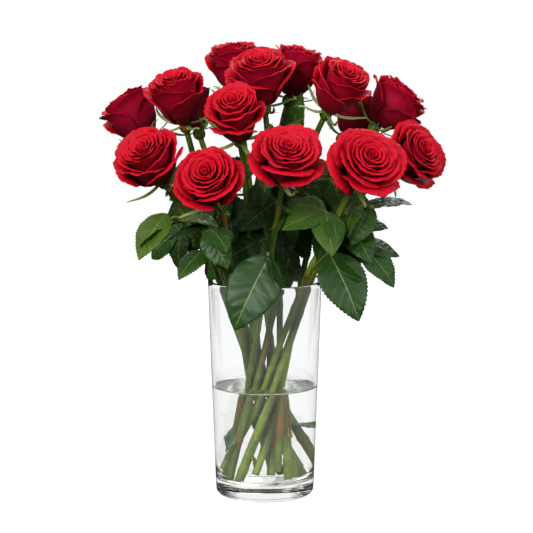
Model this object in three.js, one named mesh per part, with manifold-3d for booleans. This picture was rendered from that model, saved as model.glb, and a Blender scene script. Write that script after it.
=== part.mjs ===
// Fifteen cut red roses standing in a tapered clear glass vase, half full of water.
// Units are millimetres, +Z is up, and the origin is the centre of the vase's foot.
// The stems cross in a loose spiral in the glass. Each carries a calyx and a bloom,
// and thirteen compound leaves grow from them between the rim and the blooms.
import * as THREE from "three";
import { ParametricGeometry } from "three/addons/geometries/ParametricGeometry.js";
import { mergeVertices } from "three/addons/utils/BufferGeometryUtils.js";
import Module from "manifold-3d";

const wasm = await Module();
wasm.setup();

const gap = 0.3; // clear space left between neighbouring pieces
const weld = 1e-3; // vertices closer than this are one
const seamTolerance = 0.06; // slivers along joined seams are merged below this size
const up = new THREE.Vector3(0, 0, 1);
const sideways = new THREE.Vector3(0, 1, 0);
const degrees = THREE.MathUtils.degToRad;

const vase = {
  height: 192,
  rimRadius: 50,
  footRadius: 43,
  wall: 2.4,
  floor: 14, // thickness of the solid glass base
  outerFillet: 5,
  innerFillet: 6,
  sides: 40,
};
const waterLevel = 97;

// spacing is between the centre lines of two stems at one level, neck the straight length
// under a bloom, and levelStep the height between the points that a stem is settled at
const stem = { radius: 3, sides: 6, steps: 14, spacing: 8.5, neck: 20, levelStep: 14 };
// how far each foot is turned round the vase from its bloom, and how far out it stands
const spiral = { twist: 148, footNear: 12, footSpread: 0.22, footClear: 2, wallClear: 1.5 };
// No two stems are placed or cut quite alike. Each has a twist in degrees, a reach in mm and a
// share cut off its lowest step, which rise and fall from stem to stem by the pace given.
const uneven = {
  twist: { most: 14, pace: 4.4, start: 0 },
  reach: { most: 7, pace: 5.6, start: 1 },
  cut: { most: 0.7, pace: 2.6, start: 0 },
};
const settling = { passes: 600, ease: 0.5, footEase: 0.25 };

const hip = { length: 9, radius: 5.6, sides: 10 };
const hipOutline = [[0, 0], [0.57, 0], [1, 0.45], [0.9, 0.8], [0.7, 1], [0, 1]];
// a negative bend curls the sepals up behind the petals
const sepal = { count: 5, length: 26, width: 6, thickness: 1.4, fold: 0.2, bend: -55, steps: 3 };
const sepalSeat = { radius: 3, height: 0.75, drop: 5 };

// one share of the half diameter and one of the height for each point
const bloomOutline = [
  [0, 0], [0.2, 0], [0.52, 0.08], [0.77, 0.23], [0.9, 0.43], [0.94, 0.64],
  [1, 0.82], [0.9, 0.9], [0.58, 0.93], [0.28, 1], [0, 0.96],
];
const whorl = { petals: 5, sides: 15, depth: 0.045 };

const stalk = { radius: 1.1, sides: 4, steps: 3, bend: 25, endSeat: 0.97 };
const leaflet = { width: 0.66, thickness: 1.1, fold: 0.14, bend: 32, steps: 4, spread: 62 };
const leafletPairs = [
  { share: 0.86, size: 1 },
  { share: 0.42, size: 0.85 },
];

// centre of the bloom, its lean from upright and the compass direction that it leans to,
// counted in degrees from +X towards +Y
const roses = [
  { centre: [-116, 22, 335], lean: 35, toward: 172, diameter: 54, height: 46 },
  { centre: [-75, -16, 354], lean: 22, toward: -126, diameter: 52, height: 50 },
  { centre: [-98, -52, 303], lean: 42, toward: -127, diameter: 60, height: 48 },
  { centre: [-25, -46, 341], lean: 36, toward: -102, diameter: 52, height: 52 },
  { centre: [-26, 49, 375], lean: 8, toward: -138, diameter: 50, height: 48 },
  { centre: [-3, -5, 369], lean: 23, toward: -105, diameter: 57, height: 52 },
  { centre: [-47, -80, 289], lean: 52, toward: -105, diameter: 58, height: 48 },
  { centre: [18, -76, 307], lean: 38, toward: -81, diameter: 60, height: 48 },
  { centre: [28, 39, 372], lean: 15, toward: 2, diameter: 50, height: 48 },
  { centre: [64, -15, 362], lean: 34, toward: -48, diameter: 54, height: 50 },
  { centre: [86, -77, 302], lean: 52, toward: -68, diameter: 64, height: 48 },
  { centre: [127, -27, 303], lean: 59, toward: -38, diameter: 58, height: 46 },
  { centre: [113, 17, 344], lean: 40, toward: 1, diameter: 56, height: 46 },
  { centre: [83, 57, 332], lean: 33, toward: 15, diameter: 48, height: 46 },
  { centre: [-66, 36, 340], lean: 20, toward: 160, diameter: 42, height: 42 },
];

// rose is the place in the list above of the rose that it grows on, and from its height there.
// The end leaflet runs from the joint to the tip, the leaf's upper side faces as near as it can
// to the lean and compass direction given, and side is the length of its largest side leaflets.
const leaves = [
  { rose: 2, from: 246, joint: [-74, -50, 250], tip: [-108, -62, 219], faces: [50, -115], side: 42 },
  { rose: 6, from: 246, joint: [-50, -58, 245], tip: [-31, -73, 213], faces: [40, -119], side: 38 },
  { rose: 2, from: 202, joint: [-50, -42, 224], tip: [-73, -67, 202], faces: [54, -124], side: 40 },
  { rose: 7, from: 212, joint: [4, -58, 222], tip: [-27, -80, 161], faces: [65, -95], side: 38 },
  { rose: 10, from: 207, joint: [56, -50, 223], tip: [81, -74, 168], faces: [60, -80], side: 40 },
  { rose: 11, from: 233, joint: [83, -29, 224], tip: [111, -41, 191], faces: [35, -75], side: 40 },
  { rose: 10, from: 260, joint: [50, -48, 258], tip: [14, -62, 246], faces: [35, -90], side: 46 },
  { rose: 14, from: 265, joint: [-33, 7, 266], tip: [-27, -19, 228], faces: [71, -106], side: 42 },
  { rose: 11, from: 257, joint: [90, -34, 261], tip: [74, -51, 230], faces: [59, -85], side: 40 },
  { rose: 8, from: 307, joint: [25, -1, 316], tip: [31, -5, 350], faces: [80, -97], side: 44 },
  { rose: 5, from: 295, joint: [10, -29, 300], tip: [-2, -51, 262], faces: [79, -141], side: 46 },
  { rose: 4, from: 254, joint: [-24, 50, 246], tip: [-48, 70, 204], faces: [55, 115], side: 46 },
  { rose: 13, from: 239, joint: [44, 47, 250], tip: [51, 76, 203], faces: [59, 87], side: 46 },
];

const looks = {
  glass: { color: "#eef4f2", roughness: 0.03, metalness: 0, transparent: true, opacity: 0.3 },
  water: { color: "#dfe8e4", roughness: 0.02, metalness: 0, transparent: true, opacity: 0.3 },
  stem: { color: "#6f8434", roughness: 0.5, metalness: 0 },
  calyx: { color: "#5c7a33", roughness: 0.55, metalness: 0 },
  petal: { color: "#b00524", roughness: 0.6, metalness: 0 },
  leaf: { color: "#1f3d1c", roughness: 0.35, metalness: 0 },
};

// ---- joining

function solidOf(geometry) {
  const bare = new THREE.BufferGeometry();
  bare.setAttribute("position", geometry.getAttribute("position"));
  bare.setIndex(geometry.index);
  const merged = mergeVertices(bare, weld);
  return new wasm.Manifold(
    new wasm.Mesh({
      numProp: 3,
      vertProperties: new Float32Array(merged.attributes.position.array),
      triVerts: new Uint32Array(merged.index.array),
    }),
  );
}

function geometryOf(solid) {
  const mesh = solid.simplify(seamTolerance).getMesh();
  const geometry = new THREE.BufferGeometry();
  geometry.setAttribute("position", new THREE.BufferAttribute(mesh.vertProperties, 3));
  geometry.setIndex(new THREE.BufferAttribute(mesh.triVerts, 1));
  geometry.computeVertexNormals();
  return geometry;
}

// ---- shapes

// direction from its lean off upright and its compass direction
function pointing(lean, toward) {
  const spherical = new THREE.Vector3(Math.sin(degrees(lean)), 0, Math.cos(degrees(lean)));
  return spherical.applyAxisAngle(up, degrees(toward));
}

// a turned body from its [radius, height] outline, standing along +Z
function turned(outline, sides) {
  const points = outline.map(([r, z]) => new THREE.Vector2(r, z));
  return new THREE.LatheGeometry(points, sides).rotateX(Math.PI / 2);
}

// a many-sided rod along a smooth line through the points
function rod(points, radius, sides, steps) {
  const corners = Array.from({ length: sides }, (_, i) => {
    const angle = (2 * Math.PI * i) / sides;
    return new THREE.Vector2(radius * Math.cos(angle), radius * Math.sin(angle));
  });
  const extrudePath = new THREE.CatmullRomCurve3(points, false, "centripetal");
  return new THREE.ExtrudeGeometry(new THREE.Shape(corners), { steps, extrudePath });
}

// an arc of a length that leaves its start along a heading and bends away from its face
function arc(start, heading, face, length, bend) {
  const across = face.clone().cross(heading);
  return (t) => {
    const cos = Math.cos(bend * t);
    const sin = Math.sin(bend * t);
    const at = start.clone().addScaledVector(heading, (length * sin) / bend);
    return {
      at: at.addScaledVector(face, (length * (cos - 1)) / bend),
      along: heading.clone().multiplyScalar(cos).addScaledVector(face, -sin),
      face: face.clone().multiplyScalar(cos).addScaledVector(heading, sin),
      across,
    };
  };
}

// the arc between two points whose face is as near as it can be to the direction given
function arcBetween(start, end, facing, bend) {
  const chord = end.clone().sub(start);
  const length = (chord.length() * bend) / 2 / Math.sin(bend / 2);
  chord.normalize();
  const level = chord.clone().cross(facing).normalize();
  const heading = chord.applyAxisAngle(level, bend / 2);
  return arc(start, heading, level.clone().cross(heading), length, bend);
}

// a thin pointed blade along an arc: thickest on its midrib, with its edges lifted by the fold
function blade({ path, width, thickness, fold, steps }) {
  const corners = 4;
  const surface = (u, v, target) => {
    const { at, across, face } = path(v);
    const open = v === 0 || v === 1 ? 0 : 1;
    const half = (open * width(v) * Math.cos(2 * Math.PI * u)) / 2;
    const rise = (open * thickness * Math.sin(2 * Math.PI * u)) / 2;
    target.copy(at).addScaledVector(across, half);
    target.addScaledVector(face, rise + Math.abs(half) * fold);
  };
  return new ParametricGeometry(surface, corners, steps);
}

// points on an arc of an outline, between two angles in degrees
function corner(x, z, radius, from, to, steps) {
  return Array.from({ length: steps + 1 }, (_, i) => {
    const angle = degrees(from + ((to - from) * i) / steps);
    return [x + radius * Math.cos(angle), z + radius * Math.sin(angle)];
  });
}

// ---- vase and water

function innerRadius(z) {
  const taper = (vase.rimRadius - vase.footRadius) / vase.height;
  return vase.footRadius - vase.wall + taper * z;
}

// the glass, from the foot's centre up the outside, over the rim and down the inside
function vaseOutline() {
  const { height, rimRadius, footRadius, wall, floor, outerFillet, innerFillet } = vase;
  const lip = wall / 2;
  return [
    [0, 0],
    ...corner(footRadius - outerFillet, outerFillet, outerFillet, -90, 0, 4),
    ...corner(rimRadius - lip, height - lip, lip, 0, 180, 4),
    ...corner(innerRadius(floor) - innerFillet, floor + innerFillet, innerFillet, 0, -90, 3),
    [0, floor],
  ];
}

function waterOutline() {
  const { floor, innerFillet } = vase;
  const x = innerRadius(floor) - innerFillet;
  return [
    [0, floor + gap],
    ...corner(x, floor + innerFillet, innerFillet - gap, -90, 0, 3),
    [innerRadius(waterLevel) - gap, waterLevel],
    [0, waterLevel],
  ];
}

// ---- stems

// the points along a rose's axis where its bloom, calyx, stem and neck begin or end
function axisPoints({ centre, lean, toward, height }) {
  const axis = pointing(lean, toward);
  const down = (distance) => new THREE.Vector3(...centre).addScaledVector(axis, -distance);
  const calyxFoot = height / 2 + gap + hip.length;
  return {
    axis,
    bloomFoot: down(height / 2),
    calyxFoot: down(calyxFoot),
    stemTop: down(calyxFoot + gap),
    shoulder: down(calyxFoot + gap + stem.neck / 2),
    neck: down(calyxFoot + gap + stem.neck),
  };
}

function variation({ most, pace, start }, index) {
  return most * Math.sin(pace * index + start);
}

// a stem before it is settled: points at even heights on a straight line to its neck
function straightStem(rose, index) {
  const { neck } = axisPoints(rose);
  const twist = spiral.twist + variation(uneven.twist, index);
  const angle = Math.atan2(neck.y, neck.x) - degrees(twist);
  const spread = spiral.footNear + spiral.footSpread * Math.hypot(neck.x, neck.y);
  const reach = spread + variation(uneven.reach, index);
  const floor = vase.floor + spiral.footClear;
  const foot = new THREE.Vector3(reach * Math.cos(angle), reach * Math.sin(angle), floor);
  const count = Math.floor((neck.z - floor) / stem.levelStep);
  const points = Array.from({ length: count }, (_, k) =>
    foot.clone().lerp(neck, (k * stem.levelStep) / (neck.z - floor)),
  );
  return { points, foot, neck };
}

function moveLevel(point, target, share) {
  point.x += share * (target.x - point.x);
  point.y += share * (target.y - point.y);
}

function straighten({ points, foot, neck }, ease) {
  points.slice(1).forEach((point, i) => {
    const before = points[i];
    const after = points[i + 2] || neck;
    const share = (point.z - before.z) / (after.z - before.z);
    moveLevel(point, before.clone().lerp(after, share), ease);
  });
  moveLevel(points[0], foot, ease * settling.footEase);
}

// pushes the stems that come too close at one level apart, and keeps them inside the glass
function partLevel(points) {
  points.forEach((p, i) =>
    points.slice(i + 1).forEach((q) => {
      const between = q.clone().sub(p);
      const overlap = Math.max(0, stem.spacing - between.length());
      p.addScaledVector(between.normalize(), -overlap / 2);
      q.addScaledVector(between, overlap / 2);
    }),
  );
  for (const p of points.filter(({ z }) => z < vase.height + stem.levelStep)) {
    const room = innerRadius(Math.min(p.z, vase.height)) - stem.radius - spiral.wallClear;
    const pull = Math.min(1, room / Math.hypot(p.x, p.y));
    p.set(p.x * pull, p.y * pull, p.z);
  }
}

// Every stem starts straight, from a foot turned round the vase from its bloom, and is then
// straightened and pushed clear of the others, ever more gently, until all of them fit.
function settledStems() {
  const stems = roses.map(straightStem);
  const levels = Math.max(...stems.map(({ points }) => points.length));
  for (let pass = 0; pass < settling.passes; pass++) {
    const ease = settling.ease * (1 - pass / settling.passes);
    stems.forEach((one) => straighten(one, ease));
    for (let k = 0; k < levels; k++) {
      partLevel(stems.map(({ points }) => points[k]).filter(Boolean));
    }
  }
  return stems.map(({ points }) => points);
}

const stemLines = settledStems();

function stemPoints(index) {
  const { neck, shoulder, stemTop } = axisPoints(roses[index]);
  const [lowest, next, ...rest] = stemLines[index];
  const foot = lowest.clone().lerp(next, Math.max(0, variation(uneven.cut, index)));
  return [foot, next, ...rest, neck, shoulder, stemTop];
}

function stemRod(index, extra = 0) {
  return rod(stemPoints(index), stem.radius + extra, stem.sides, stem.steps);
}

// the point on a stem's centre line at a height
function onStem(index, z) {
  const samples = new THREE.CatmullRomCurve3(stemPoints(index)).getSpacedPoints(200);
  return samples.reduce((best, p) => (Math.abs(p.z - z) < Math.abs(best.z - z) ? p : best));
}

// ---- calyxes and blooms

function sepalBlade() {
  const heading = new THREE.Vector3(1, 0, 0).applyAxisAngle(sideways, degrees(sepalSeat.drop));
  const face = heading.clone().applyAxisAngle(sideways, -Math.PI / 2);
  const start = new THREE.Vector3(sepalSeat.radius, 0, sepalSeat.height * hip.length);
  return blade({
    ...sepal,
    path: arc(start, heading, face, sepal.length, degrees(sepal.bend)),
    width: (t) => 1.5 * sepal.width * Math.sqrt(1 - t) * (0.4 + t),
  });
}

// the rounded hip under a bloom, with its narrow sepals spread behind the petals
function calyxGeometry() {
  const outline = hipOutline.map(([r, h]) => [r * hip.radius, h * hip.length]);
  let solid = solidOf(turned(outline, hip.sides));
  for (let i = 0; i < sepal.count; i++) {
    solid = solid.add(solidOf(sepalBlade().rotateZ((2 * Math.PI * i) / sepal.count)));
  }
  return geometryOf(solid);
}

// a turned cup with a soft wave round it for each petal of a whorl
function bloomGeometry({ diameter, height }) {
  const outline = bloomOutline.map(([r, h]) => [(r * diameter) / 2, h * height]);
  const geometry = turned(outline, whorl.sides);
  const position = geometry.getAttribute("position");
  for (let i = 0; i < position.count; i++) {
    const x = position.getX(i);
    const y = position.getY(i);
    const wave = 1 - whorl.depth * (1 - Math.cos(whorl.petals * Math.atan2(y, x)));
    position.setXY(i, x * wave, y * wave);
  }
  return geometry;
}

// ---- leaves

// broadest below its middle and drawn out to a point
function leafletSolid(path, length) {
  const width = (t) => leaflet.width * length * Math.sin(Math.PI * t ** 0.75) ** 0.8;
  return solidOf(blade({ ...leaflet, path, width }));
}

// a side leaflet, leaving the stalk on one side of it at a share of its length
function sideLeaflet(line, share, hand, length) {
  const { at, along, face, across } = line(share);
  const heading = along.multiplyScalar(Math.cos(degrees(leaflet.spread)));
  heading.addScaledVector(across, hand * Math.sin(degrees(leaflet.spread)));
  return leafletSolid(arc(at, heading, face, length, degrees(leaflet.bend)), length);
}

// a stalk from the stem to the joint, an end leaflet and two pairs of side leaflets
function leafGeometry({ rose, from, joint, tip, faces, side }) {
  const facing = pointing(...faces);
  const jointPoint = new THREE.Vector3(...joint);
  const tipPoint = new THREE.Vector3(...tip);
  const start = onStem(rose, from);
  const away = jointPoint.clone().sub(start).setZ(0).normalize();
  start.addScaledVector(away, stem.radius + stalk.radius + gap);
  const line = arcBetween(start, jointPoint, facing, degrees(stalk.bend));
  const points = [0, 0.25, 0.5, 0.75, 1].map((t) => line(t).at);
  let solid = solidOf(rod(points, stalk.radius, stalk.sides, stalk.steps));
  const end = arcBetween(line(stalk.endSeat).at, tipPoint, facing, degrees(leaflet.bend));
  solid = solid.add(leafletSolid(end, jointPoint.distanceTo(tipPoint)));
  for (const { share, size } of leafletPairs) {
    for (const hand of [-1, 1]) {
      solid = solid.add(sideLeaflet(line, share, hand, side * size));
    }
  }
  return geometryOf(solid);
}

// ---- the whole arrangement

const arrangement = new THREE.Group();

function place(name, geometry, look, parent = arrangement) {
  const mesh = new THREE.Mesh(geometry, new THREE.MeshStandardMaterial(looks[look]));
  mesh.name = name;
  parent.add(mesh);
}

// an empty group standing at a point with its +Z along the axis
function seatAt(point, axis) {
  const seat = new THREE.Group();
  seat.position.copy(point);
  seat.quaternion.setFromUnitVectors(up, axis);
  arrangement.add(seat);
  return seat;
}

place("vase", turned(vaseOutline(), vase.sides), "glass");

let water = solidOf(turned(waterOutline(), vase.sides));
roses.forEach((_, i) => {
  water = water.subtract(solidOf(stemRod(i, gap)));
});
place("water", geometryOf(water), "water");

roses.forEach((rose, i) => {
  const number = String(i + 1).padStart(2, "0");
  const { axis, bloomFoot, calyxFoot } = axisPoints(rose);
  place("stem_" + number, stemRod(i), "stem");
  place("calyx_" + number, calyxGeometry(), "calyx", seatAt(calyxFoot, axis));
  place("bloom_" + number, bloomGeometry(rose), "petal", seatAt(bloomFoot, axis));
});

leaves.forEach((leaf, i) => {
  place("leaf_" + String(i + 1).padStart(2, "0"), leafGeometry(leaf), "leaf");
});

export default arrangement;
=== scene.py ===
import math
import random

import bpy
import numpy as np
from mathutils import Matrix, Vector


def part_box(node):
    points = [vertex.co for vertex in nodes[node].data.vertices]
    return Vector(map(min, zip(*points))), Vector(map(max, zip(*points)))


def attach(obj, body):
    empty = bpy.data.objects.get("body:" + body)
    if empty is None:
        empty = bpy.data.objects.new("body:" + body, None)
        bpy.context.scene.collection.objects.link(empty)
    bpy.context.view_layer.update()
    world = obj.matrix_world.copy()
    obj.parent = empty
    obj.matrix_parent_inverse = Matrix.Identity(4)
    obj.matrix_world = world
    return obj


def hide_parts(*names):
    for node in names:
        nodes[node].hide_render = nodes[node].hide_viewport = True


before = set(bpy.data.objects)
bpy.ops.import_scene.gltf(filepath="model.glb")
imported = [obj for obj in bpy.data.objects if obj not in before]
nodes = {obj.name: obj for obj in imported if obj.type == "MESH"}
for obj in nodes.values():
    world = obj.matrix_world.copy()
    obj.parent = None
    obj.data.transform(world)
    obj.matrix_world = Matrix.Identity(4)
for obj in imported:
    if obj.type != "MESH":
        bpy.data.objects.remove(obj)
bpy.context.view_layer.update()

mm = 0.001
goldenTurn = math.radians(137.508)  # petals and leaves of a rose follow each other by this turn


def linearColour(hexCode):
    parts = [int(hexCode[i:i + 2], 16) / 255 for i in (1, 3, 5)]
    return (*[c / 12.92 if c <= 0.04045 else ((c + 0.055) / 1.055) ** 2.4 for c in parts], 1.0)


def addNode(tree, kind, settings=None, links=None):
    node = tree.nodes.new(kind)
    for key, value in (settings or {}).items():
        if key == "stops":  # a colour ramp's places, each with its grey value or hex colour
            elements = node.color_ramp.elements
            while len(elements) < len(value):
                elements.new(0.5)
            for element, (place, shade) in zip(elements, value):
                element.position = place
                element.color = linearColour(shade) if isinstance(shade, str) else (shade, shade, shade, 1)
        elif isinstance(key, str) and hasattr(node, key):
            setattr(node, key, value)
        else:
            socket = node.inputs[key]
            socket.default_value = linearColour(value) if isinstance(value, str) else value
    for key, source in (links or {}).items():
        tree.links.new(source, node.inputs[key])
    return node


def startMaterial(name, settings):
    material = bpy.data.materials.new(name)
    material.use_nodes = True
    tree = material.node_tree
    tree.nodes.clear()
    shader = addNode(tree, "ShaderNodeBsdfPrincipled", settings)
    addNode(tree, "ShaderNodeOutputMaterial", links={"Surface": shader.outputs[0]})
    return material, tree, shader


petalFinish = {
    # the foot colours are painted shade of the deep cup, over a slightly deeper crimson; the lip colours are
    # the petal's own red
    "faceFootShade": "#66000c", "faceLip": "#c60421",  # upper side, towards the heart
    "backFootShade": "#800622", "backLip": "#b60c32",  # outer side, with a bloom of fine hairs
    "hairs": "#e0406a",
    "streakWidth": 1.1,  # mm between the fine veins that run to the lip
    "papillae": 0.35,  # mm, the real cells are 0.03 mm and are drawn coarser to show as velvet
}


# A rose petal: thin living tissue whose skin is covered in tiny cones, so that it drinks light
# in its folds and glows like velvet where it turns away. The outer side is paler and hairier.
# Its colour darkens towards its foot: a slightly deeper crimson there, deepened much further as painted shade
# of the cup.
def velvetPetal(name, base, lip, sheen):
    material, tree, shader = startMaterial(name, {
        "Roughness": 0.5, "IOR": 1.42, "Sheen Weight": sheen, "Sheen Roughness": 0.35,
        "Sheen Tint": petalFinish["hairs"], "Specular IOR Level": 0.16,
    })
    place = addNode(tree, "ShaderNodeUVMap", {"uv_map": "grain"})
    axes = addNode(tree, "ShaderNodeSeparateXYZ", links={"Vector": place.outputs[0]})
    body = addNode(tree, "ShaderNodeTexCoord")
    blotch = addNode(tree, "ShaderNodeTexNoise", {"Scale": 90.0, "Detail": 3.0},
                     {"Vector": body.outputs["Object"]})
    rise = addNode(tree, "ShaderNodeMath", {"operation": "MULTIPLY_ADD", 1: 0.35, 2: -0.17},
                   {0: blotch.outputs["Fac"]})
    reach = addNode(tree, "ShaderNodeMath", {"operation": "ADD", "use_clamp": True},
                    {0: axes.outputs["Y"], 1: rise.outputs[0]})
    # painted shade: the colour darkens from the lip down to the petal's foot, deep in the cup, broken by
    # random blotches
    colour = addNode(tree, "ShaderNodeValToRGB", {"stops": [(0.25, base), (0.95, lip)]},
                     {"Fac": reach.outputs[0]})
    # veins fan out from the claw, so they follow the petal's own width
    stretch = addNode(tree, "ShaderNodeMapping", {"Scale": (50 / petalFinish["streakWidth"], 1.6, 1.0)},
                      {"Vector": place.outputs[0]})
    veins = addNode(tree, "ShaderNodeTexNoise", {"Scale": 1.0, "Detail": 2.0},
                    {"Vector": stretch.outputs[0]})
    veinShade = addNode(tree, "ShaderNodeValToRGB", {"stops": [(0.3, 0.78), (0.7, 1.0)]},
                        {"Fac": veins.outputs["Fac"]})
    streaked = addNode(tree, "ShaderNodeMix", {"data_type": "RGBA", "blend_type": "MULTIPLY", 0: 1.0},
                       {6: colour.outputs[0], 7: veinShade.outputs[0]})
    grain = addNode(tree, "ShaderNodeTexNoise", {"Scale": 1 / (petalFinish["papillae"] * mm), "Detail": 1.0},
                    {"Vector": body.outputs["Object"]})
    veinBump = addNode(tree, "ShaderNodeBump", {"Strength": 0.35, "Distance": 0.15 * mm},
                       {"Height": veins.outputs["Fac"]})
    bump = addNode(tree, "ShaderNodeBump", {"Strength": 0.25, "Distance": 0.06 * mm},
                   {"Height": grain.outputs["Fac"], "Normal": veinBump.outputs[0]})
    rough = addNode(tree, "ShaderNodeMapRange", {"To Min": 0.42, "To Max": 0.6},
                    {"Value": grain.outputs["Fac"]})
    tree.links.new(streaked.outputs[2], shader.inputs["Base Color"])
    tree.links.new(rough.outputs[0], shader.inputs["Roughness"])
    tree.links.new(bump.outputs[0], shader.inputs["Normal"])
    return material


leafFinish = {
    "old": "#163511", "grown": "#2c4e14", "young": "#526b10", "fading": "#d6b81c",  # as it ages
    "vein": "#4a6a34", "midrib": "#8f9a50", "under": "#5a7848",
    "veins": 7, "veinSlope": 1.5,  # side veins on each half, and how far they run forward
    "cells": 0.5,  # mm between the smallest veins
}


# A rose leaf: a waxy cuticle over dark green tissue, so it shines in broad soft patches that the
# quilting between its veins breaks up. The underside has no wax and is pale and matt.
def waxyLeaf(name, upper):
    material, tree, shader = startMaterial(name, {
        "IOR": 1.45, "Specular IOR Level": 0.3 if upper else 0.25,
    })
    place = addNode(tree, "ShaderNodeUVMap", {"uv_map": "grain"})
    axes = addNode(tree, "ShaderNodeSeparateXYZ", links={"Vector": place.outputs[0]})
    age = addNode(tree, "ShaderNodeAttribute", {"attribute_name": "age"})
    body = addNode(tree, "ShaderNodeTexCoord")
    centred = addNode(tree, "ShaderNodeMath", {"operation": "MULTIPLY_ADD", 1: 2.0, 2: -1.0},
                      {0: axes.outputs["X"]})
    across = addNode(tree, "ShaderNodeMath", {"operation": "ABSOLUTE"}, {0: centred.outputs[0]})
    along = addNode(tree, "ShaderNodeMath", {"operation": "MULTIPLY", 1: float(leafFinish["veins"])},
                    {0: axes.outputs["Y"]})
    slant = addNode(tree, "ShaderNodeMath", {"operation": "MULTIPLY", 1: -leafFinish["veinSlope"]},
                    {0: across.outputs[0]})
    straight = addNode(tree, "ShaderNodeMath", {"operation": "ADD"},
                       {0: along.outputs[0], 1: slant.outputs[0]})
    strayed = addNode(tree, "ShaderNodeTexNoise", {"Scale": 120.0, "Detail": 1.0},
                      {"Vector": body.outputs["Object"]})
    phase = addNode(tree, "ShaderNodeMath", {"operation": "MULTIPLY_ADD", 1: 0.28},
                    {0: strayed.outputs["Fac"], 2: straight.outputs[0]})
    toVein = addNode(tree, "ShaderNodeMath", {"operation": "PINGPONG", 1: 0.5}, {0: phase.outputs[0]})
    patch = addNode(tree, "ShaderNodeTexNoise", {"Scale": 70.0, "Detail": 4.0},
                    {"Vector": body.outputs["Object"]})
    ageing = addNode(tree, "ShaderNodeMath", {"operation": "MULTIPLY_ADD", 1: 0.3, "use_clamp": True},
                     {0: patch.outputs["Fac"], 2: age.outputs["Fac"]})
    tissue = addNode(tree, "ShaderNodeValToRGB",
                     {"stops": [(0.1, leafFinish["old"]), (0.4, leafFinish["grown"]),
                                (0.8, leafFinish["young"]), (1.0, leafFinish["fading"])]},
                     {"Fac": ageing.outputs[0]})
    veinLine = addNode(tree, "ShaderNodeValToRGB", {"stops": [(0.0, 0.4), (0.045, 0.0)]},
                       {"Fac": toVein.outputs[0]})
    veined = addNode(tree, "ShaderNodeMix", {"data_type": "RGBA", 7: leafFinish["vein"]},
                     {0: veinLine.outputs[0], 6: tissue.outputs[0]})
    ribLine = addNode(tree, "ShaderNodeValToRGB", {"stops": [(0.01, 0.7), (0.034, 0.0)]},
                      {"Fac": across.outputs[0]})
    ribbed = addNode(tree, "ShaderNodeMix", {"data_type": "RGBA", 7: leafFinish["midrib"]},
                     {0: ribLine.outputs[0], 6: veined.outputs[2]})
    pale = addNode(tree, "ShaderNodeMix",
                   {"data_type": "RGBA", 0: 0.0 if upper else 0.62, 7: leafFinish["under"]},
                   {6: ribbed.outputs[2]})
    cells = addNode(tree, "ShaderNodeTexVoronoi", {"Scale": 1 / (leafFinish["cells"] * mm)},
                    {"Vector": body.outputs["Object"]})
    cellBump = addNode(tree, "ShaderNodeBump", {"Strength": 0.25, "Distance": 0.08 * mm},
                       {"Height": cells.outputs["Distance"]})
    veinDip = addNode(tree, "ShaderNodeBump", {"Strength": 0.5, "Distance": 0.3 * mm, "invert": not upper},
                      {"Height": toVein.outputs[0], "Normal": cellBump.outputs[0]})
    rough = addNode(tree, "ShaderNodeMapRange",
                    {"To Min": 0.26 if upper else 0.6, "To Max": 0.5 if upper else 0.8},
                    {"Value": patch.outputs["Fac"]})
    tree.links.new(pale.outputs[2], shader.inputs["Base Color"])
    tree.links.new(rough.outputs[0], shader.inputs["Roughness"])
    tree.links.new(veinDip.outputs[0], shader.inputs["Normal"])
    return material


barkFinish = {
    "fresh": "#8c9c36", "shade": "#46621f", "woody": "#86500f",
    "fibre": 0.6,  # mm between the ridges of the rind
}


# Green rose wood: a smooth cut-flower rind with long pale fibres and a few brown bruises.
def greenBark(name, tones):
    material, tree, shader = startMaterial(name, {"IOR": 1.45, "Specular IOR Level": 0.25})
    place = addNode(tree, "ShaderNodeUVMap", {"uv_map": "grain"})
    age = addNode(tree, "ShaderNodeAttribute", {"attribute_name": "age"})
    body = addNode(tree, "ShaderNodeTexCoord")
    stretch = addNode(tree, "ShaderNodeMapping", {"Scale": (19 / barkFinish["fibre"], 9.0, 1.0)},
                      {"Vector": place.outputs[0]})
    fibres = addNode(tree, "ShaderNodeTexNoise", {"Scale": 1.0, "Detail": 3.0},
                     {"Vector": stretch.outputs[0]})
    clouds = addNode(tree, "ShaderNodeTexNoise", {"Scale": 38.0, "Detail": 5.0, "Roughness": 0.65},
                     {"Vector": body.outputs["Object"]})
    mixed = addNode(tree, "ShaderNodeMath", {"operation": "MULTIPLY_ADD", 1: 0.45},
                    {0: fibres.outputs["Fac"], 2: clouds.outputs["Fac"]})
    aged = addNode(tree, "ShaderNodeMath", {"operation": "ADD"},
                   {0: mixed.outputs[0], 1: age.outputs["Fac"]})
    colour = addNode(tree, "ShaderNodeValToRGB",
                     {"stops": [(0.55, tones[0]), (0.82, tones[1]), (1.0, tones[2])]},
                     {"Fac": aged.outputs[0]})
    bump = addNode(tree, "ShaderNodeBump", {"Strength": 0.4, "Distance": 0.2 * mm},
                   {"Height": fibres.outputs["Fac"]})
    rough = addNode(tree, "ShaderNodeMapRange", {"To Min": 0.36, "To Max": 0.6},
                    {"Value": clouds.outputs["Fac"]})
    tree.links.new(colour.outputs[0], shader.inputs["Base Color"])
    tree.links.new(rough.outputs[0], shader.inputs["Roughness"])
    tree.links.new(bump.outputs[0], shader.inputs["Normal"])
    return material


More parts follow.
